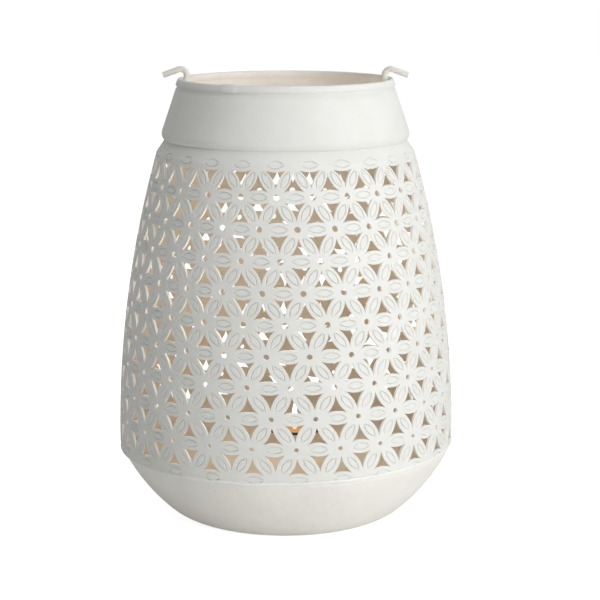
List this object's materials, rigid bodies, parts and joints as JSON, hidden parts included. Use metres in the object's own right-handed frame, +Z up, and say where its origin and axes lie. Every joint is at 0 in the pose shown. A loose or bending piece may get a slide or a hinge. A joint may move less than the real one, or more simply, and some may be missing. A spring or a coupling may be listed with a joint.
{
  "type": "candle lantern",
  "caption": "Barrel-shaped candle lantern of pierced sheet with a petal lattice, plain bowl base, conical collar, two wire hooks at the rim and a tea light that lifts out.",
  "frame": {"origin": "on the table, under the middle of the bowl's flat foot", "axes": "+Z up along the lantern's axis, -Y towards the viewer of the picture, +X to the viewer's right, through the right hook"},
  "size_m": [0.2212, 0.2212, 0.2963],
  "materials": {
    "white_paint": "matte white paint on sheet steel, slightly uneven",
    "weld_paint": "matte white paint over a hand-laid weld bead",
    "hook_paint": "matte white paint on wire",
    "inner_paint": "matte warm beige paint inside",
    "aluminium_foil": "bright drawn foil",
    "candle_wax": "soft white wax, molten round the wick",
    "tinned_steel": "thin tinned disc",
    "cotton_wick": "burnt braided cotton"
  },
  "bodies": {
    "lantern": {"base_bowl": "white_paint", "pierced_body": "white_paint", "seam_weld": "weld_paint", "candle_plate": "inner_paint", "plate_tack_welds": "inner_paint", "collar": "white_paint", "neck_weld": "inner_paint", "rim_strip": "white_paint", "hook_left": "hook_paint", "hook_right": "hook_paint", "hook_tacks_left": "inner_paint", "hook_tacks_right": "inner_paint"},
    "tealight": {"tealight_cup": "aluminium_foil", "tealight_wax": "candle_wax", "wick_sustainer": "tinned_steel", "wick": "cotton_wick"}
  },
  "joints": [
    {"name": "tealight_lift", "type": "slide", "parent": "lantern", "child": "tealight", "axis": [0, 0, 1], "range_m": [0, 0.27]}
  ]
}
